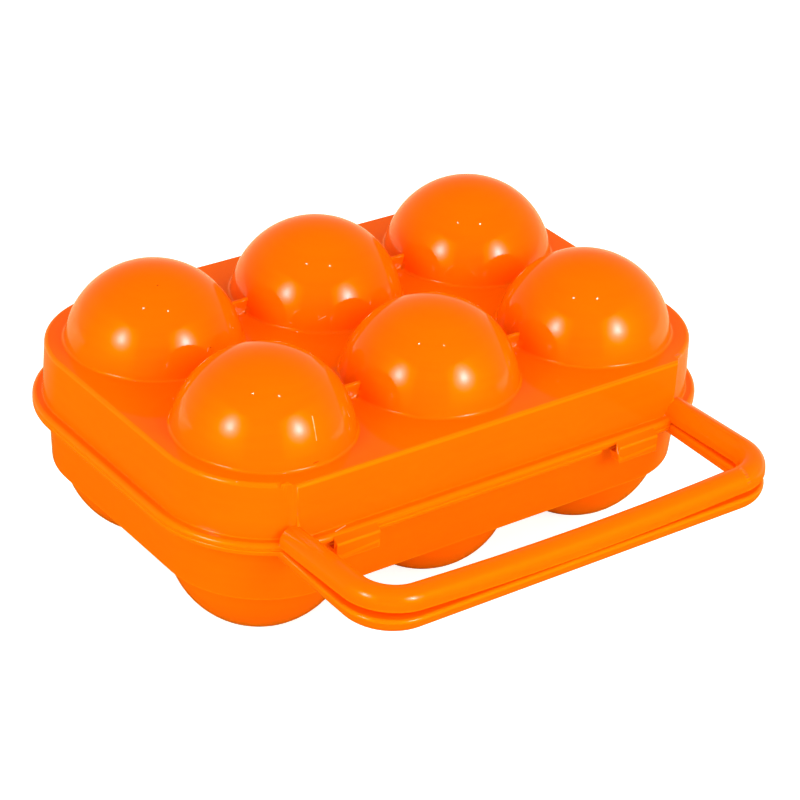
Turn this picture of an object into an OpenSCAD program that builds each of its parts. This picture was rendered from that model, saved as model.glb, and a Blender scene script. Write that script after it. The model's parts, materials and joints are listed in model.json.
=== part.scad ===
// Camping egg box for six eggs: two thin moulded halves that close on flat rims. Each half has
// a round cup for every egg and one half of the carrying handle. The lid turns on round pins
// at the back and two tabs at the front snap over the base's rim.

/* [Egg cups] */
// Cups side by side
cups_across = 3; // [2:1:4]
// Cups from front to back
cups_deep = 2; // [2:1:3]
// Distance between the middles of neighbouring cups
cup_pitch = 48; // [46:0.5:56]
// Outer radius of a dome of the lid
dome_r = 22; // [19:0.1:22.4]
// Outer radius of a cup of the base
cup_r = 22.1; // [19:0.1:22.4]
// Width of the flat that each cup of the base stands on
foot_w = 10; // [4:0.5:14]
// Thickness of both mouldings
wall = 1.5; // [1:0.1:2]
// Thickness of the ribs that tie neighbouring cups together
rib_t = 1.2; // [0.8:0.1:2]
// Height of those ribs
rib_h = 3.9; // [2:0.1:7]
// Radius of the hollow at a cup's foot on its tray
cup_fillet = 1; // [0.5:0.1:1.2]

/* [Lid] */
// Height of the lid's deck over its rim's lower face
lid_h = 16; // [12:0.5:22]
// Height of a dome over the deck
dome_rise = 19.3; // [14:0.1:20]
// Reach of the lid's wall past the outer domes' middles, at the rim
lid_reach = 26.9; // [26:0.1:27.6]
// How far the lid's wall leans in on its way up
lid_lean = 0.4; // [0.1:0.1:1.5]
// Radius of the lid's upper edge
lid_edge_r = 1.0; // [0.6:0.1:3]
// How far the flat panel on the lid's front runs past the outer domes' middles
panel_past = 8.2; // [2:0.1:11]
// Radius of the panel's upright edges
panel_round = 0.3; // [0.2:0.05:0.6]
// Radius of the hollow that leads from the panel's ends to the lid's corners
panel_hollow = 8; // [4:0.5:12]

/* [Base] */
// Depth of the base's tray under its rim's upper face
base_h = 16.8; // [12:0.1:22]
// Depth of a cup under the tray
cup_drop = 18.7; // [14:0.1:20]
// Reach of the base's wall past the outer cups' middles, at the rim
base_reach = 25.5; // [24.8:0.1:26.5]
// How far the base's wall leans in on its way down
base_lean = 0.9; // [0.1:0.1:1.5]
// Radius of the base's lower edge
base_edge_r = 0.8; // [0.6:0.1:3]

/* [Rims] */
// Reach of both rims past the wider of the two walls
rim_reach = 2.5; // [2:0.1:4]
// Thickness of each rim
rim_t = 1.7; // [1.6:0.1:2.5]
// Radius of each rim's outer edge
rim_round = 1.1; // [0.5:0.1:1.2]
// Radius of the edges that meet where the halves part
seam_round = 0.35; // [0.1:0.05:0.4]
// Radius of the hollow at a wall's foot on its rim
rim_fillet = 0.4; // [0.2:0.1:1.2]

/* [Handle] */
// Width of the handle's bar
grip_w = 6.7; // [5:0.1:9]
// Height of the upper half of the bar
grip_h = 5.1; // [4:0.1:6.5]
// Height of the lower half of the bar
grip_low_h = 4.2; // [3.5:0.1:6]
// Distance from the rim's side to the handle's arm
grip_inset = 16.7; // [12:0.1:20]
// Reach of the handle in front of the rims
grip_reach = 34.4; // [30:0.1:45]
// Outer radius of the handle's corners
grip_corner_r = 13; // [10:0.1:18]
// Radius of the edges that meet where the handle parts
grip_edge_r = 0.8; // [0.3:0.1:1]
// How far the lower bar's flat face lies below the rims' parting
grip_droop = 0.5; // [0.1:0.1:1]
// Gap between the two halves in the middle of the handle
grip_gap = 0.2; // [0.2:0.1:2]
// Rise of the upper bar's ends over its middle
grip_bow = 1.2; // [0.5:0.1:2]

/* [Snap tabs] */
// Width of a tab
tab_w = 12.1; // [8:0.1:14]
// Distance from the handle's arm to the tab
tab_inset = 6.1; // [5:0.1:8]
// Thickness of a tab
tab_t = 1.5; // [1.2:0.1:2]
// Height of the slope from the rim's top down to a tab's upright face
tab_shoulder = 1.8; // [1:0.1:2.5]
// Reach of a tab below the rims' parting
tab_drop = 4.4; // [4:0.1:6]
// Gap between a tab and the base's rim
tab_gap = 0.3; // [0.2:0.05:0.5]
// How far the lip along a tab's lower end stands out
tab_lip = 0.4; // [0.2:0.1:1]
// Height of that lip
tab_lip_h = 2.2; // [1.8:0.1:3]
// Radius of a tab's outer edges
tab_round = 0.8; // [0.3:0.1:0.9]
// Reach of a tab's hook under the rim
hook_reach = 1.6; // [1:0.1:1.8]
// Height of the hook's own edge
hook_t = 0.9; // [0.5:0.1:1.1]
// Gap between the hook and the ledge that it snaps under
hook_gap = 0.2; // [0.1:0.05:0.4]
// Width of the open notch to the left of each tab
notch_w = 4.2; // [2:0.1:5]
// Gap to the right of each tab
notch_gap = 0.6; // [0.3:0.1:1]

/* [Hinge] */
// Distance from the rim's side to the middle of a hinge
hinge_inset = 41.4; // [30:0.1:45]
// Width of the lid's clip
clip_w = 8; // [5:0.5:14]
// Outer radius of the clip and of the ears beside it
clip_r = 3; // [2.6:0.1:4]
// Radius of the pin between the ears
pin_r = 1.5; // [1:0.1:1.5]
// Gap between the pin and the clip's bore, all round
pin_gap = 0.05; // [0.02:0.01:0.09]
// Width of the mouth that snaps the clip over the pin
mouth_w = 2.2; // [1.4:0.1:2.4]
// Thickness of an ear
ear_t = 3; // [2:0.1:5]
// Gap between an ear and the clip
ear_gap = 0.3; // [0.2:0.05:0.5]
// Gap between the turning round and the other half's rim
turn_gap = 0.3; // [0.2:0.05:0.5]

/* [Hidden] */
plastic = [1, 0.47, 0];
$fn = 64;
arc_steps = 8;
// Smallest radius inside the edge between a deck and its wall
inner_edge_r = 0.5;

// Middles of the outermost cups, the rims' edge past them, and half the size of the rims
grid_x = (cups_across - 1) * cup_pitch / 2;
grid_y = (cups_deep - 1) * cup_pitch / 2;
rim_edge = max(lid_reach, base_reach) + rim_reach;
rim_x = grid_x + rim_edge;
rim_y = grid_y + rim_edge;

// Heights of the cups' middles; the parting plane of the halves is z = 0 here
dome_z = lid_h + dome_rise - dome_r;
foot_z = base_h + cup_drop;
cup_z = foot_z - sqrt(cup_r * cup_r - foot_w * foot_w / 4);

// Handle: middle line of the bar, the curve that bows the upper one, the height at which its arms
// leave the lid, and the slope of both halves
arm_x = rim_x - grip_inset - grip_w / 2;
bar_y = rim_y + grip_reach - grip_w / 2;
bend_r = grip_corner_r - grip_w / 2;
arm_end = bar_y - bend_r;
bar_half = arm_x - bend_r;
bow_angle = 2 * atan(grip_bow / bar_half);
bow_r = bar_half / sin(bow_angle);
arm_rise = grip_bow + bend_r * sin(bow_angle);
arm_seat = 0.35;
lid_front = grid_y + lid_reach;
lower_root = grid_y + base_reach - wall / 2;
upper_tilt = asin((grip_gap - grip_droop + arm_rise - arm_seat) / (bar_y - lid_front));
lower_tilt = asin(grip_droop / (bar_y - lower_root));

// Snap tabs: middle of a tab, its front face, and the ledge that its hook reaches
tab_x = arm_x - grip_w / 2 - tab_inset - tab_w / 2;
tab_back = rim_edge + tab_gap;
tab_front = tab_back + tab_t;
hook_tip = rim_edge - hook_reach;
ledge = hook_tip - hook_gap;

// Hinge: middle of each clip and the pins' axis
hinge_x = rim_x - hinge_inset;
axis_y = rim_y + turn_gap + clip_r;

// Middle of the whole part from front to back, with its feet on z = 0
centre_y = (axis_y + clip_r - rim_y - grip_reach) / 2;

function arc(x, y, r, from, to) =
    [for (i = [0:arc_steps]) let (a = from + (to - from) * i / arc_steps) [x + r * cos(a), y + r * sin(a)]];

// Section through a half's wall: from a cup's middle over the flat and down the wall to the rim
function half_section(reach, lean, height, edge_r) =
    let (top = reach - lean, inner_r = max(edge_r - wall, inner_edge_r))
    concat(
        [[0, height]],
        [[0, height - wall]],
        arc(top - wall - inner_r, height - wall - inner_r, inner_r, 90, 0),
        [[reach - wall, 0]],
        arc(rim_edge - seam_round, seam_round, seam_round, -90, 0),
        arc(rim_edge - rim_round, rim_t - rim_round, rim_round, 0, 90),
        arc(reach + rim_fillet, rim_t + rim_fillet, rim_fillet, 270, 180),
        arc(top - edge_r, height - edge_r, edge_r, 0, 90));

module at_cups() {
    for (i = [0:cups_across - 1], j = [0:cups_deep - 1])
        translate([i * cup_pitch - grid_x, j * cup_pitch - grid_y, 0]) children();
}

// A straight run of a section that faces +X, of the given length along Y
module straight_run(length) {
    translate([0, length / 2, 0]) rotate([90, 0, 0]) linear_extrude(length) children();
}

// The section carried round the whole tray: four sides, four corners about the outer cups
module tray_wall() {
    for (turn = [0, 180]) {
        rotate([0, 0, turn]) translate([grid_x, 0, 0]) straight_run(2 * grid_y) children();
        rotate([0, 0, turn + 90]) translate([grid_y, 0, 0]) straight_run(2 * grid_x) children();
        rotate([0, 0, turn]) translate([grid_x, grid_y, 0]) rotate_extrude(angle = 90) children();
        rotate([0, 0, turn + 90]) translate([grid_y, grid_x, 0]) rotate_extrude(angle = 90) children();
    }
}

module tray(reach, lean, height, edge_r) {
    tray_wall() polygon(half_section(reach, lean, height, edge_r));
    translate([-grid_x, -grid_y, height - wall]) cube([2 * grid_x, 2 * grid_y, wall]);
}

// A dome's outside with the hollow at its foot; it stands through the deck at the given height
module dome_solid(r, middle, deck) {
    sink = 0.02;
    foot_x = sqrt((r + cup_fillet - sink) ^ 2 - (deck + cup_fillet - sink - middle) ^ 2);
    foot_a = atan2(deck + cup_fillet - sink - middle, foot_x);
    rotate_extrude() polygon(concat(
        [[0, deck - wall], [foot_x, deck - wall]],
        arc(foot_x, deck + cup_fillet - sink, cup_fillet, 270, 180 + foot_a),
        [[0, middle + r * sin(foot_a)]]));
    intersection() {
        translate([0, 0, middle]) sphere(r);
        translate([0, 0, deck - wall / 2]) cylinder(r = 2 * r, h = 2 * r);
    }
}

// Ribs between cups that stand side by side, with round tops
module ribs(r, middle, deck) {
    gap = cup_pitch / 2 - sqrt(r * r - (deck + rib_h - middle) ^ 2);
    reach = gap + wall / 2;
    for (i = [0.5:cups_across - 1], j = [0:cups_deep - 1])
        translate([i * cup_pitch - grid_x - reach, j * cup_pitch - grid_y, deck - wall / 2])
            rotate([90, 0, 90]) linear_extrude(2 * reach)
                polygon(concat(
                    [[-rib_t / 2, 0], [rib_t / 2, 0]],
                    arc(0, rib_h + wall / 2 - rib_t / 2, rib_t / 2, 0, 180)));
}

// Outline of one half of the handle's bar, flat face down
module grip_section(height) {
    half_w = grip_w / 2;
    round_r = min(half_w, height - grip_edge_r);
    polygon(concat(
        arc(grip_edge_r - half_w, grip_edge_r, grip_edge_r, 180, 270),
        arc(half_w - grip_edge_r, grip_edge_r, grip_edge_r, 270, 360),
        arc(half_w - round_r, height - round_r, round_r, 0, 90),
        arc(round_r - half_w, height - round_r, round_r, 90, 180)));
}

// One side of the handle from the end of its bar: the corner, then the arm back to the wall
module grip_side(arm_length) {
    translate([0, bend_r, 0]) rotate([0, 0, -90]) rotate_extrude(angle = 90)
        translate([bend_r, 0]) children();
    translate([bend_r, bend_r + arm_length, 0]) rotate([90, 0, 0]) linear_extrude(arm_length) children();
}

// The lower half of the handle, flat side up; it hangs a little from its roots in the base's wall
module lower_grip() {
    translate([0, -lower_root, 0]) rotate([lower_tilt, 0, 0]) mirror([0, 0, 1])
        translate([0, lower_root - bar_y, 0]) {
            translate([-bar_half, 0, 0]) rotate([90, 0, 90]) linear_extrude(2 * bar_half)
                grip_section(grip_low_h);
            for (side = [0, 1])
                mirror([side, 0, 0]) translate([bar_half, 0, 0])
                    grip_side(arm_end - lower_root) grip_section(grip_low_h);
        }
}

// The upper half: its bar sags in the middle, and the whole half slopes up from the lid
module upper_grip() {
    translate([0, -lid_front, arm_seat]) rotate([-upper_tilt, 0, 0])
        translate([0, lid_front - bar_y, -arm_rise]) {
            rotate([90, 0, 0]) translate([0, bow_r, 0]) rotate([0, 0, -90 - bow_angle])
                rotate_extrude(angle = 2 * bow_angle)
                    translate([bow_r, 0]) rotate([0, 0, 90]) grip_section(grip_h);
            for (side = [0, 1])
                mirror([side, 0, 0]) translate([bar_half, 0, grip_bow]) rotate([0, -bow_angle, 0])
                    grip_side(arm_end - lid_front + wall / 2) grip_section(grip_h);
        }
}

// The flat panel on the lid's front: the wall's own section, run on past the corners' start. A
// hollow that just touches the narrow top of the corner leads up to each of its ends.
module front_panel() {
    depth = 3 * wall;
    top = lid_reach - lid_lean;
    edge_y = lid_reach - panel_round;
    edge_far = norm([panel_past, edge_y]);
    hollow_far = top + panel_hollow;
    swing = acos((edge_far ^ 2 + hollow_far ^ 2 - panel_hollow ^ 2) / (2 * edge_far * hollow_far));
    bearing = atan2(panel_past, edge_y) + swing;
    hollow_x = hollow_far * sin(bearing);
    hollow_y = hollow_far * cos(bearing);
    for (side = [0, 1]) mirror([side, 0, 0]) translate([grid_x, -grid_y, 0]) difference() {
        intersection() {
            rotate([0, 0, -90]) straight_run(4 * hollow_x) polygon(concat(
                [[lid_reach - depth, lid_h], [lid_reach - depth, rim_t / 2], [lid_reach, rim_t / 2]],
                arc(top - lid_edge_r, lid_h - lid_edge_r, lid_edge_r, 0, 90)));
            linear_extrude(lid_h) polygon(concat(
                [[0, -lid_reach]],
                arc(panel_past - panel_round, -edge_y, panel_round, 270, 360),
                arc(hollow_x, -hollow_y, panel_hollow,
                    atan2(hollow_y - edge_y, panel_past - hollow_x), 90 + bearing),
                [[0, depth - lid_reach]]));
        }
        translate([0, 0, -wall / 2])
            cylinder(r1 = lid_reach - wall / 2, r2 = top - wall / 2, h = lid_h);
    }
}

// Section of a snap tab: it slopes down from the rim's top, hangs in front of the base's rim and
// ends in a lip and a hook
module tab_section() {
    root = rim_edge - 2 * rim_round;
    lip = tab_front + tab_lip;
    shoulder_a = atan2(tab_front - rim_edge + rim_round, tab_shoulder);
    polygon(concat(
        [[root, seam_round], [tab_back, seam_round], [tab_back, -rim_t - hook_gap]],
        [[hook_tip, -rim_t - hook_gap], [hook_tip, -rim_t - hook_gap - hook_t], [tab_back, -tab_drop]],
        arc(lip - tab_round, tab_round - tab_drop, tab_round, 270, 360),
        [[lip, tab_lip_h - tab_lip - tab_drop], [tab_front, tab_lip_h - tab_drop]],
        arc(tab_front - tab_round, rim_t - tab_shoulder - tab_round / 2, tab_round, 0, shoulder_a),
        [[rim_edge - rim_round, rim_t], [root, rim_t]]));
}

// One snap tab: the section across its width, with round upright edges and round lower corners
module snap_tab() {
    lip = tab_front + tab_lip;
    side_y = tab_w / 2 - tab_round;
    intersection() {
        straight_run(tab_w) tab_section();
        translate([0, 0, -2 * tab_drop]) linear_extrude(4 * tab_drop) polygon(concat(
            [[0, tab_w / 2], [0, -tab_w / 2]],
            arc(lip - tab_round, -side_y, tab_round, 270, 360),
            arc(lip - tab_round, side_y, tab_round, 0, 90)));
        rotate([90, 0, 90]) linear_extrude(2 * lip) polygon(concat(
            [[tab_w / 2, 2 * rim_t], [-tab_w / 2, 2 * rim_t]],
            arc(-side_y, tab_round - tab_drop, tab_round, 180, 270),
            arc(side_y, tab_round - tab_drop, tab_round, 270, 360)));
    }
}

module at_tabs() {
    for (x = [-tab_x, tab_x]) translate([x, -grid_y, 0]) rotate([0, 0, -90]) children();
}

// Notches in the base's rim: each lets a tab's hook through to its ledge
module tab_notches() {
    width = notch_w + tab_w + notch_gap;
    at_tabs() translate([ledge, -tab_w / 2 - notch_w, -2 * rim_t])
        cube([2 * rim_edge - 2 * ledge, width, 4 * rim_t]);
}

module at_hinges() {
    for (x = [-hinge_x, hinge_x]) translate([x, axis_y, 0]) rotate([90, 0, 90]) children();
}

// The base's ears carry a round pin; the section here has the pin's axis at its middle
module hinge_ears() {
    root = clip_r + turn_gap + rim_round;
    ear_out = clip_w / 2 + ear_gap;
    at_hinges() {
        for (side = [0, 1]) mirror([0, 0, side]) translate([0, 0, ear_out]) {
            cylinder(r = clip_r, h = ear_t);
            linear_extrude(ear_t) polygon([
                [-root, 0], [-root, -rim_t], [0, -clip_r], [0, 0]]);
        }
        translate([0, 0, -ear_out - ear_t / 2]) cylinder(r = pin_r, h = 2 * ear_out + ear_t);
    }
}

// The lid's clip is a ring round the pin with a mouth on its lower side
module hinge_clips() {
    root = clip_r + turn_gap + rim_round;
    at_hinges() difference() {
        union() {
            translate([0, 0, -clip_w / 2]) cylinder(r = clip_r, h = clip_w);
            translate([0, 0, -clip_w / 2]) linear_extrude(clip_w) polygon([
                [-root, 0], [0, 0], [0, clip_r], [-root, rim_t]]);
        }
        translate([0, 0, -clip_w]) cylinder(r = pin_r + pin_gap, h = 2 * clip_w);
        translate([-mouth_w / 2, -2 * clip_r, -clip_w]) cube([mouth_w, 2 * clip_r, 2 * clip_w]);
    }
}

module base_half() {
    color(plastic) translate([0, -centre_y, foot_z]) difference() {
        union() {
            mirror([0, 0, 1]) {
                tray(base_reach, base_lean, base_h, base_edge_r);
                at_cups() dome_solid(cup_r, cup_z, base_h);
                ribs(cup_r, cup_z, base_h);
            }
            lower_grip();
            hinge_ears();
        }
        at_cups() translate([0, 0, -cup_z]) sphere(cup_r - wall);
        at_cups() translate([0, 0, -foot_z - cup_r]) cylinder(r = cup_r, h = cup_r);
        tab_notches();
    }
}

module lid_half() {
    color(plastic) translate([0, -centre_y, foot_z]) difference() {
        union() {
            tray(lid_reach, lid_lean, lid_h, lid_edge_r);
            front_panel();
            at_cups() dome_solid(dome_r, dome_z, lid_h);
            ribs(dome_r, dome_z, lid_h);
            upper_grip();
            at_tabs() snap_tab();
            hinge_clips();
        }
        at_cups() translate([0, 0, dome_z]) sphere(dome_r - wall);
    }
}

base_half();
lid_half();
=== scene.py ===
"""Camping egg box for six eggs, in glossy orange plastic, closed and seen from its front left corner.

The two moulded halves come from the frame. Here each one is welded into a smooth skin, gets the marks
that its mould leaves, and is finished in the plastic; then come the camera, the lamps and the floor.
Lengths are in metres and angles in radians unless a line says otherwise. Colours are linear.
"""

import bmesh
import bpy
import json
import math
from mathutils import Matrix, Vector

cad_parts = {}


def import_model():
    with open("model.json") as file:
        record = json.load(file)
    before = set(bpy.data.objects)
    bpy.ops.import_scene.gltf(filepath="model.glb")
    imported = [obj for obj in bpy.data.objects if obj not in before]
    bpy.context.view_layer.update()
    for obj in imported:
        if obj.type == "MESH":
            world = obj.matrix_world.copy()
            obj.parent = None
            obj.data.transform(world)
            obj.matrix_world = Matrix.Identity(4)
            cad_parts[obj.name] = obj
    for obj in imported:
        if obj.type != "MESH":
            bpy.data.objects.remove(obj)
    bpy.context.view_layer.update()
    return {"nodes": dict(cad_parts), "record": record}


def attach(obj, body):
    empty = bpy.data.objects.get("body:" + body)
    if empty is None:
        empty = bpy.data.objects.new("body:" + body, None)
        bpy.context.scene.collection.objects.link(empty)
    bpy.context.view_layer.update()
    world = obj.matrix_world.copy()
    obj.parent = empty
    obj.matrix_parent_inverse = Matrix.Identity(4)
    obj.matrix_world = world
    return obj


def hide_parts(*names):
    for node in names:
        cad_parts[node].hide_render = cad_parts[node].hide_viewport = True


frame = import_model()

MM = 0.001

# The CAD node of each moulded half, and the body that it rides
HALVES = {"base_half": "base", "lid_half": "lid"}

# The plane of the rims, at the hinge's height, and the middle of the tray that holds the cups
RECORD = frame["record"]
SEAM_HEIGHT = RECORD["behaviour"]["joints"][0]["pos_m"][2]
TRAY = next(o["box_m"] for o in RECORD["physics"]["openings"] if o["name"] == "base_tray")
TRAY_MIDDLE = (Vector(TRAY[0]) + Vector(TRAY[1])) / 2
# Distance between the middles of neighbouring cups
CUP_PITCH = 48 * MM

# Camera: it stands at the front left of the box and looks down on it. Lens and sensor in millimetres
CAMERA_PLACE = Vector((-0.3761, -0.4789, 0.3895))
CAMERA_AZIMUTH = math.radians(-38.08)
CAMERA_ELEVATION = math.radians(29.93)
CAMERA_ROLL = math.radians(3.92)
CAMERA_LENS = 129.02
SENSOR_WIDTH = 36.0
CAMERA_SHIFT_X = 0.0008
CLIP_START = 10 * MM

# Lamps: all of them stand this far from the box
LAMP_DISTANCE = 1.2
# Each upright panel's name, its azimuth in degrees and its strength
PANELS = [("softbox_left", -83.0, 0.78), ("softbox_right", 13.0, 1.0)]
# A panel's height, and how far it reaches past its hot spot towards the camera's side and away from it
PANEL_HEIGHT = 1.33
PANEL_NEAR = 0.56
PANEL_FAR = 1.9
# The hot spot: its height, its radiance, and the radius where that has fallen to a quarter
SPOT_HEIGHT = 0.695
SPOT_RADIANCE = 17.0
SPOT_RADIUS = 0.2
# The wide glow round the spot: its radiance, and the radius where that has fallen to half
GLOW_RADIANCE = 2.0
GLOW_RADIUS = 0.45
# Both fade more slowly above the spot: a distance there counts this much
RISE = 0.65
# Blue comes only with radiance past this one, and by this factor: the glow is warm and the spot is white
BLUE_START = 1.8
BLUE_GAIN = 1.12
# Each small overhead lamp's name, its azimuth and elevation in degrees and its radiance; and their size
SPARKS = [("spark_left", -89.0, 72.7, 30.0), ("spark_right", 13.0, 72.7, 34.0)]
SPARK_SIZE = 30 * MM

# The sky that lights the box: its part near the horizon, its part half way up, and its even part
SKY_LOW = 1.1
SKY_HALF_WAY = 3.6
SKY_EVEN = 0.1
SKY_TINT = (1.0, 0.84, 0.76, 1.0)
# The sky in the plastic's gloss: its part low down behind the box, and its even part
MIRRORED_SKY = 0.6
MIRRORED_EVEN = 0.03
MIRRORED_TINT = (1.0, 0.97, 0.6, 1.0)
WHITE = (1.0, 1.0, 1.0, 1.0)

# The floor: half its width, its height just under the feet, its grey, and the glow that the camera sees
FLOOR_REACH = 4.0
FLOOR_HEIGHT = -0.05 * MM
FLOOR_GREY = (0.7, 0.7, 0.7, 1.0)
FLOOR_GLOW = 0.85
# In the plastic's gloss the floor fades from a dark colour to a pale one between these distances behind
# the middle of the box
FLOOR_FADE = (20 * MM, 140 * MM)
FLOOR_MIRRORED_NEAR = (0.3, 0.25, 0.02, 1.0)
FLOOR_MIRRORED_FAR = (0.8, 0.72, 0.5, 1.0)

# The plastic: two oranges between which it drifts, and what edges (a painted highlight), scuffs (with a
# painted glint) and specks turn it to
DEEP_ORANGE = (1.0, 0.122, 0.0, 1.0)
PALE_ORANGE = (1.0, 0.154, 0.0, 1.0)
# Painted highlight: the lighter orange that tight outward edges take
EDGE_HIGHLIGHT_ORANGE = (1.0, 0.19, 0.0, 1.0)
# Painted glint: the pale colour that the scuffs take where their scratches catch the light
SCUFF_GLINT_COLOUR = (1.0, 0.45, 0.25, 1.0)
SPECK_COLOUR = (0.2, 0.02, 0.0, 1.0)
REFRACTION = 1.49
# Its roughness where it is cleanest, and what haze, drift and scuffs add
CLEAN_ROUGHNESS = 0.025
HAZE_ROUGHNESS = 0.02
DRIFT_ROUGHNESS = 0.01
SCUFF_ROUGHNESS = 0.3
# Its relief: strength and depth, and the share that haze has in it
RELIEF_STRENGTH = 0.05
RELIEF_DEPTH = 0.6 * MM
HAZE_RELIEF = 0.08
# Its patterns of noise, each with its scale per metre and its detail
DRIFT = (28.0, 2.0)
HAZE = (420.0, 4.0)
WAVES = (60.0, 1.0)
FLOW_RINGS = (520.0, 3.0)
# How the rings of flow wander: the noise that moves them, and by how much at most
RING_WANDER = (40.0, 1.0)
WANDER_REACH = 12 * MM

# Skins of the halves: points closer than this are welded, and narrower faces say nothing about a bend
WELD = 1e-6
SLIVER = 2e-5
SMOOTH_ANGLE = math.radians(24)
# An outward curve takes the painted highlight from the first of these bends, in radians per metre, and
# fully from the second
EDGE_BEND = (100.0, 1300.0)

# Marks of use, in millimetres on the closed box: where each short line starts and ends, and its width. The
# scuffs' pale colour is a painted glint in the scratches.
SCUFFS_WITH_GLINTS = [
    ((-46.9, -27.4, 62.2), (-47.2, -28.8, 60.0), 0.30),
    ((-47.2, -28.8, 60.0), (-47.4, -30.1, 57.5), 0.26),
    ((-35.4, -24.4, 59.3), (-34.9, -25.3, 57.5), 0.24),
    ((-11.8, 20.6, 54.7), (-10.0, 19.7, 55.8), 0.20),
    ((-35.6, 22.5, 58.4), (-34.4, 23.2, 56.5), 0.20),
    ((-46.6, -38.2, 37.2), (-43.2, -37.3, 37.2), 0.30),
]
SPECKS = [
    ((-48.9, -31.6, 52.6), (-47.6, -31.6, 52.7), 0.22),
    ((-51.4, 31.7, 69.6), (-51.1, 31.7, 69.6), 0.32),
    ((-44.8, 18.1, 57.4), (-44.5, 18.1, 57.4), 0.26),
]
# Each line is full up to the first of these shares of its width from its middle, and gone at the second
LINE_FADE = (0.2, 0.6)

# Ejector marks on the inner faces: the size of their grid and how many it has each way, a mark's radius
# and the radius of its bead, how many sides each has, and the way from the seam to the deck
MARK_GRID = (CUP_PITCH, 86 * MM)
MARK_COUNTS = (2, 3)
MARK_RADIUS = 3 * MM
MARK_SIDES = 48
BEAD_RADIUS = 0.2 * MM
BEAD_SIDES = 8
TOWARDS_DECK = {"base_half": (0.0, 0.0, -1.0), "lid_half": (0.0, 0.0, 1.0)}


class Value:
    """A number socket that takes part in Python arithmetic: each operator adds one Math node."""

    def __init__(self, graph, socket):
        self.graph = graph
        self.socket = socket

    def join(self, operation, other, swap=False):
        pair = (other, self) if swap else (self, other)
        return self.graph.node("ShaderNodeMath", {"operation": operation}, *pair)

    def at_least(self, other):
        return self.join("MAXIMUM", other)

    def at_most(self, other):
        return self.join("MINIMUM", other)

    def __add__(self, other):
        return self.join("ADD", other)

    def __radd__(self, other):
        return self.join("ADD", other, swap=True)

    def __sub__(self, other):
        return self.join("SUBTRACT", other)

    def __rsub__(self, other):
        return self.join("SUBTRACT", other, swap=True)

    def __mul__(self, other):
        return self.join("MULTIPLY", other)

    def __rmul__(self, other):
        return self.join("MULTIPLY", other, swap=True)

    def __truediv__(self, other):
        return self.join("DIVIDE", other)

    def __rtruediv__(self, other):
        return self.join("DIVIDE", other, swap=True)


class Graph:
    """The node tree of a material, a lamp or the world."""

    def __init__(self, owner):
        owner.use_nodes = True
        self.tree = owner.node_tree
        self.tree.nodes.clear()

    def node(self, kind, settings, *inputs, out=0, **named):
        """Adds a node, sets its settings, fills its sockets in order or by name, and returns one output."""
        made = self.tree.nodes.new(kind)
        for key, setting in settings.items():
            setattr(made, key, setting)
        for index, given in enumerate(inputs):
            self.feed(made.inputs[index], given)
        for name, given in named.items():
            self.feed(made.inputs[name.replace("_", " ")], given)
        if not made.outputs:
            return made
        return Value(self, made.outputs[out])

    def feed(self, socket, given):
        """Links a value to a socket or sets the socket to a constant; None leaves it as it is."""
        if given is None:
            return
        if isinstance(given, Value):
            self.tree.links.new(given.socket, socket)
        else:
            socket.default_value = given

    def vector(self, operation, *inputs, **named):
        """One Vector Math node; a product, a length or a distance comes out as a number."""
        out = "Value" if operation in ("DOT_PRODUCT", "LENGTH", "DISTANCE") else "Vector"
        return self.node("ShaderNodeVectorMath", {"operation": operation}, *inputs, out=out, **named)

    def noise(self, place, scale, detail):
        return self.node("ShaderNodeTexNoise", {}, Vector=place, Scale=scale, Detail=detail)

    def blend(self, share, first, second):
        """The first colour where the share is 0, the second where it is 1, and a mix of them between."""
        numbers_and_vectors = [None] * 5
        return self.node(
            "ShaderNodeMix", {"data_type": "RGBA"}, share, *numbers_and_vectors, first, second, out=2)


def direction(azimuth, elevation):
    """Unit vector from the box towards an azimuth, 0 at the front and positive to the right."""
    flat = math.cos(elevation)
    return Vector((math.sin(azimuth) * flat, -math.cos(azimuth) * flat, math.sin(elevation)))


def put(name, data):
    """An object in the scene that holds a mesh, a camera or a lamp."""
    made = bpy.data.objects.new(name, data)
    bpy.context.scene.collection.objects.link(made)
    return made


def settle(piece):
    """Makes what a piece's modifiers show its plain mesh, and removes them."""
    shown = piece.evaluated_get(bpy.context.evaluated_depsgraph_get())
    mesh = bpy.data.meshes.new_from_object(shown)
    piece.modifiers.clear()
    piece.data = mesh


def line_mark(g, place, start, end, width):
    """1 along a short line on the box and 0 away from it."""
    start = Vector(start) * MM
    along = Vector(end) * MM - start
    core, rim = LINE_FADE
    reach = g.vector("SUBTRACT", place, start)
    share = g.node("ShaderNodeClamp", {}, g.vector("DOT_PRODUCT", reach, along / along.length_squared))
    foot = g.vector("SCALE", along, Scale=share)
    gap = g.vector("DISTANCE", reach, foot)
    return g.node("ShaderNodeMapRange", {}, gap, width * MM * core, width * MM * rim, 1.0, 0.0)


def swirls(g, place):
    """Faint rings of flow round each cup and dome, where the plastic ran into the mould."""
    half = CUP_PITCH / 2
    cup = g.vector("SUBTRACT", place, (0.0, TRAY_MIDDLE.y + half, 0.0))
    cup = g.vector("WRAP", cup, (half, half, 1.0), (-half, -half, -1.0))
    radius = g.vector("LENGTH", g.vector("MULTIPLY", cup, (1.0, 1.0, 0.0)))
    height = g.node("ShaderNodeSeparateXYZ", {}, place, out="Z")
    wander = g.noise(place, *RING_WANDER) * WANDER_REACH
    ring = g.node("ShaderNodeCombineXYZ", {}, radius + wander, height, 0.0)
    return g.noise(ring, *FLOW_RINGS)


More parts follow.
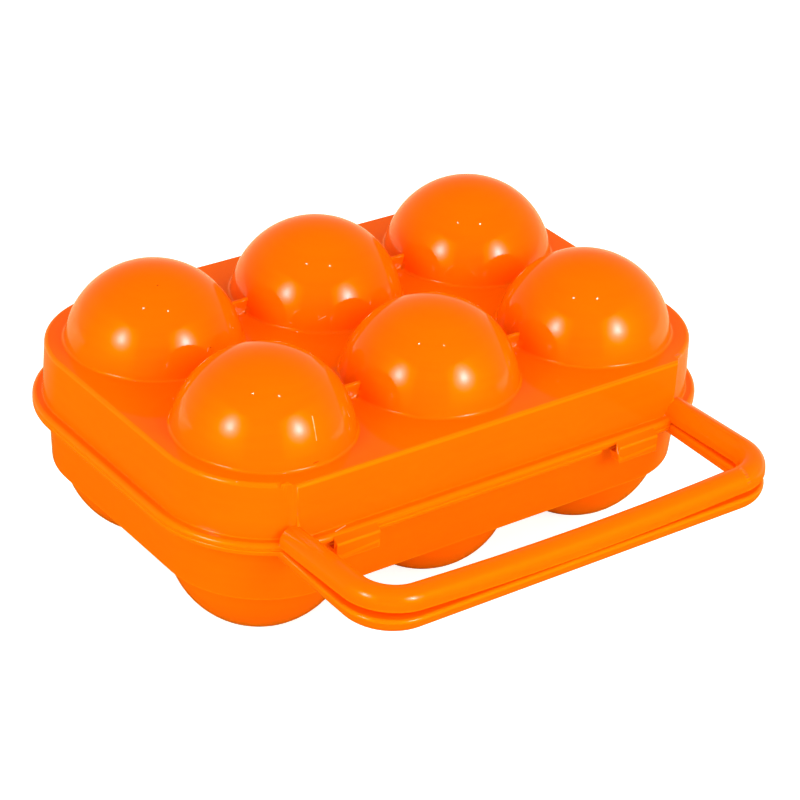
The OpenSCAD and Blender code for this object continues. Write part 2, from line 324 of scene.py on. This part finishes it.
def orange_plastic():
    """Glossy moulded polypropylene: rings of flow, a painted highlight on tight outward edges, a faint haze
    and a few marks of use with painted glints in their scratches.
    """
    material = bpy.data.materials.new("orange_plastic")
    g = Graph(material)
    place = g.node("ShaderNodeTexCoord", {}, out="Object")
    # Painted highlight along tight outward edges, from the values on the skin's faces
    edge = g.node("ShaderNodeAttribute", {"attribute_name": "edge"}, out="Fac")
    flow = swirls(g, place)
    drift = g.noise(place, *DRIFT)
    haze = g.noise(place, *HAZE)
    waves = g.noise(place, *WAVES)
    # Real scratches; the pale colour that they give below is a painted glint
    scuffs_with_glints = sum(line_mark(g, place, *mark) for mark in SCUFFS_WITH_GLINTS)
    specks = sum(line_mark(g, place, *mark) for mark in SPECKS)
    colour = g.blend((drift + flow) / 2, DEEP_ORANGE, PALE_ORANGE)
    # Tight outward edges lightened: a painted highlight
    colour = g.blend(edge, colour, EDGE_HIGHLIGHT_ORANGE)
    # Painted glint in the scuffs
    colour = g.blend(scuffs_with_glints, colour, SCUFF_GLINT_COLOUR)
    colour = g.blend(specks, colour, SPECK_COLOUR)
    roughness = CLEAN_ROUGHNESS + haze * HAZE_ROUGHNESS + drift * DRIFT_ROUGHNESS + scuffs_with_glints * SCUFF_ROUGHNESS
    relief = waves + haze * HAZE_RELIEF + scuffs_with_glints
    bump = g.node("ShaderNodeBump", {}, Strength=RELIEF_STRENGTH, Distance=RELIEF_DEPTH, Height=relief)
    shader = g.node(
        "ShaderNodeBsdfPrincipled", {}, Base_Color=colour, Roughness=roughness, Normal=bump, IOR=REFRACTION)
    g.node("ShaderNodeOutputMaterial", {}, shader)
    return material


def mark_edges(work):
    """Gives each face of a tight outward curve a value for a painted highlight, a lighter colour that
    stands for light caught and scattered in thin edges of the plastic.
    """
    edge = work.faces.layers.float.new("edge")
    low, high = EDGE_BEND
    for face in work.faces:
        bend = 0.0
        for side in face.edges:
            # How far the triangle reaches from this side, which is its height over it
            reach = 2.0 * face.calc_area() / side.calc_length()
            if reach > SLIVER and len(side.link_faces) == 2:
                bend = max(bend, side.calc_face_angle_signed() / reach)
        face[edge] = min(max((bend - low) / (high - low), 0.0), 1.0)


def skin(node, material):
    """A welded, smooth-shaded copy of a CAD node; its flats stay flat and its hard edges stay hard."""
    mesh = frame["nodes"][node].data.copy()
    work = bmesh.new()
    work.from_mesh(mesh)
    bmesh.ops.remove_doubles(work, verts=work.verts, dist=WELD)
    mark_edges(work)
    work.to_mesh(mesh)
    work.free()
    mesh.materials.clear()
    mesh.materials.append(material)
    mesh.shade_smooth()
    mesh.set_sharp_from_angle(angle=SMOOTH_ANGLE)
    piece = put(node + "_skin", mesh)
    weigh = piece.modifiers.new("weigh", "WEIGHTED_NORMAL")
    weigh.keep_sharp = True
    settle(piece)
    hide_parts(node)
    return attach(piece, HALVES[node])


def ejector_tree():
    """Geometry Nodes for the rings that the mould's ejectors leave on the inner face of a half's deck."""
    tree = bpy.data.node_groups.new("ejector_marks", "GeometryNodeTree")
    inputs = [
        ("Half", "NodeSocketObject"), ("Towards deck", "NodeSocketVector"), ("Seam", "NodeSocketVector"),
        ("Across", "NodeSocketFloat"), ("Deep", "NodeSocketFloat"), ("Radius", "NodeSocketFloat"),
        ("Bead", "NodeSocketFloat"), ("Plastic", "NodeSocketMaterial")]
    for name, kind in inputs:
        tree.interface.new_socket(name, in_out="INPUT", socket_type=kind)
    tree.interface.new_socket("Marks", in_out="OUTPUT", socket_type="NodeSocketGeometry")
    given = tree.nodes.new("NodeGroupInput").outputs

    def add(kind, out=0, **sockets):
        """Adds a node to the tree, fills its sockets by name and returns one output."""
        made = tree.nodes.new(kind)
        for name, value in sockets.items():
            socket = made.inputs[name.replace("_", " ")]
            if isinstance(value, bpy.types.NodeSocket):
                tree.links.new(value, socket)
            else:
                socket.default_value = value
        return made.outputs[out]

    across, deep = MARK_COUNTS
    grid = add(
        "GeometryNodeMeshGrid", Size_X=given["Across"], Size_Y=given["Deep"], Vertices_X=across,
        Vertices_Y=deep)
    grid = add("GeometryNodeTransform", Geometry=grid, Translation=given["Seam"])
    half = add("GeometryNodeObjectInfo", "Geometry", Object=given["Half"])
    deck = add(
        "GeometryNodeRaycast", "Hit Position", Target_Geometry=half, Ray_Direction=given["Towards deck"])
    seated = add("GeometryNodeSetPosition", Geometry=grid, Position=deck)
    circle = add("GeometryNodeCurvePrimitiveCircle", Resolution=MARK_SIDES, Radius=given["Radius"])
    bead = add("GeometryNodeCurvePrimitiveCircle", Resolution=BEAD_SIDES, Radius=given["Bead"])
    ring = add("GeometryNodeCurveToMesh", Curve=circle, Profile_Curve=bead)
    rings = add("GeometryNodeInstanceOnPoints", Points=seated, Instance=ring)
    rings = add("GeometryNodeRealizeInstances", Geometry=rings)
    rings = add("GeometryNodeSetMaterial", Geometry=rings, Material=given["Plastic"])
    tree.links.new(rings, tree.nodes.new("NodeGroupOutput").inputs[0])
    return tree


def ejector_marks(node, half, tree, material):
    """The rings on one half's inner face, seated on its deck."""
    name = node + "_ejector_marks"
    piece = put(name, bpy.data.meshes.new(name))
    made = piece.modifiers.new("marks", "NODES")
    made.node_group = tree
    values = {
        "Half": half, "Towards deck": TOWARDS_DECK[node], "Seam": (0.0, TRAY_MIDDLE.y, SEAM_HEIGHT),
        "Across": MARK_GRID[0], "Deep": MARK_GRID[1], "Radius": MARK_RADIUS, "Bead": BEAD_RADIUS,
        "Plastic": material}
    for socket in tree.interface.items_tree:
        if socket.name in values:
            made[socket.identifier] = values[socket.name]
    settle(piece)
    work = bmesh.new()
    work.from_mesh(piece.data)
    bmesh.ops.recalc_face_normals(work, faces=work.faces)
    work.to_mesh(piece.data)
    work.free()
    piece.data.shade_smooth()
    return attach(piece, HALVES[node])


def camera():
    """The camera, level with the horizon but for its roll."""
    data = bpy.data.cameras.new("camera")
    data.lens = CAMERA_LENS
    data.sensor_width = SENSOR_WIDTH
    data.shift_x = CAMERA_SHIFT_X
    data.clip_start = CLIP_START
    cam = put("camera", data)
    level = direction(CAMERA_AZIMUTH, CAMERA_ELEVATION).to_track_quat("Z", "Y").to_matrix()
    turn = (level @ Matrix.Rotation(CAMERA_ROLL, 3, "Z")).to_4x4()
    cam.matrix_world = Matrix.Translation(CAMERA_PLACE) @ turn
    bpy.context.scene.camera = cam


def lamp(name, place, towards, size, radiance):
    """A flat lamp at a place that looks along a direction; its nodes give its radiance at each point."""
    data = bpy.data.lights.new(name, "AREA")
    data.shape = "RECTANGLE"
    data.size, data.size_y = size
    # The power at which an emission of 1 in the nodes is a radiance of 1
    data.energy = math.pi * size[0] * size[1]
    g = Graph(data)
    glow = g.node("ShaderNodeEmission", {}, radiance(g), 1.0)
    g.node("ShaderNodeOutputLight", {}, glow)
    made = put(name, data)
    made.location = place
    made.rotation_euler = towards.to_track_quat("-Z", "Y").to_euler()


def softbox(name, azimuth, strength):
    """An upright panel, brightest at its hot spot, with its long and dim side away from the camera."""
    azimuth = math.radians(azimuth)
    width = PANEL_NEAR + PANEL_FAR
    spot = (PANEL_NEAR if azimuth > CAMERA_AZIMUTH else PANEL_FAR) / width

    def radiance(g):
        uv = g.node("ShaderNodeTexCoord", {}, out="UV")
        away = g.vector("SUBTRACT", uv, (spot, SPOT_HEIGHT / PANEL_HEIGHT, 0.0))
        away = g.vector("MULTIPLY", away, (width, PANEL_HEIGHT, 0.0))
        beside = g.node("ShaderNodeSeparateXYZ", {}, away, out="X")
        above = g.node("ShaderNodeSeparateXYZ", {}, away, out="Y")
        above = above.at_most(above * RISE)
        far = beside * beside + above * above
        bell = 1.0 + far * (1.0 / SPOT_RADIUS ** 2)
        wide = 1.0 + far * (1.0 / GLOW_RADIUS ** 2)
        light = 1.0 / (bell * bell) * (strength * SPOT_RADIANCE) + 1.0 / wide * (strength * GLOW_RADIANCE)
        blue = ((light - BLUE_START) * BLUE_GAIN).at_least(0.0)
        return g.node("ShaderNodeCombineColor", {}, light, light, blue)

    towards = -direction(azimuth, 0.0)
    up = Vector((0.0, 0.0, 1.0))
    across = towards.cross(up)
    middle = -towards * LAMP_DISTANCE + across * ((0.5 - spot) * width) + up * (PANEL_HEIGHT / 2)
    lamp(name, middle, towards, (width, PANEL_HEIGHT), radiance)


def spark(name, azimuth, elevation, strength):
    """A small lamp overhead that leaves a sharp dot on each dome."""
    back = direction(math.radians(azimuth), math.radians(elevation))
    colour = (strength, strength, strength, 1.0)
    lamp(name, back * LAMP_DISTANCE, -back, (SPARK_SIZE, SPARK_SIZE), lambda g: colour)


def world():
    """White to the camera, a pale warm light on the box, and a dimmer one in its gloss."""
    made = bpy.data.worlds.new("studio")
    bpy.context.scene.world = made
    g = Graph(made)
    seen = g.node("ShaderNodeLightPath", {}, out="Is Camera Ray")
    gloss = g.node("ShaderNodeLightPath", {}, out="Is Glossy Ray")
    sky = g.node("ShaderNodeTexCoord", {}, out="Generated")
    behind = g.vector("DOT_PRODUCT", sky, -direction(CAMERA_AZIMUTH, 0.0)).at_least(0.0)
    height = g.node("ShaderNodeSeparateXYZ", {}, sky, out="Z").at_least(0.0)
    low = 1.0 - height
    mirrored = behind * low * low * MIRRORED_SKY + MIRRORED_EVEN
    around = low * low * SKY_LOW + low * height * SKY_HALF_WAY + SKY_EVEN
    level = seen + (1.0 - seen) * ((1.0 - gloss) * around + gloss * mirrored)
    tint = g.blend(gloss, SKY_TINT, MIRRORED_TINT)
    tint = g.blend(seen, tint, WHITE)
    light = g.node("ShaderNodeBackground", {}, tint, level)
    g.node("ShaderNodeOutputWorld", {}, light)


def floor():
    """A wide white floor that keeps a faint shadow of the box."""
    mesh = bpy.data.meshes.new("floor")
    work = bmesh.new()
    bmesh.ops.create_grid(work, x_segments=1, y_segments=1, size=FLOOR_REACH)
    bmesh.ops.translate(work, verts=work.verts, vec=(0.0, 0.0, FLOOR_HEIGHT))
    work.to_mesh(mesh)
    work.free()
    ground = put("floor", mesh)
    material = bpy.data.materials.new("floor")
    g = Graph(material)
    seen = g.node("ShaderNodeLightPath", {}, out="Is Camera Ray")
    gloss = g.node("ShaderNodeLightPath", {}, out="Is Glossy Ray")
    place = g.node("ShaderNodeTexCoord", {}, out="Object")
    behind = g.vector("DOT_PRODUCT", place, -direction(CAMERA_AZIMUTH, 0.0))
    far = g.node("ShaderNodeMapRange", {}, behind, *FLOOR_FADE, 0.0, 1.0)
    mirrored = g.blend(far, FLOOR_MIRRORED_NEAR, FLOOR_MIRRORED_FAR)
    matt = g.node("ShaderNodeBsdfDiffuse", {}, g.blend(gloss, FLOOR_GREY, mirrored))
    glow = g.node("ShaderNodeEmission", {}, WHITE, seen * FLOOR_GLOW)
    both = g.node("ShaderNodeAddShader", {}, matt, glow)
    g.node("ShaderNodeOutputMaterial", {}, both)
    mesh.materials.append(material)


def main():
    bpy.context.scene.view_settings.view_transform = "Standard"
    plastic = orange_plastic()
    tree = ejector_tree()
    for node in HALVES:
        half = skin(node, plastic)
        ejector_marks(node, half, tree, plastic)
    camera()
    for panel in PANELS:
        softbox(*panel)
    for overhead in SPARKS:
        spark(*overhead)
    world()
    floor()


main()
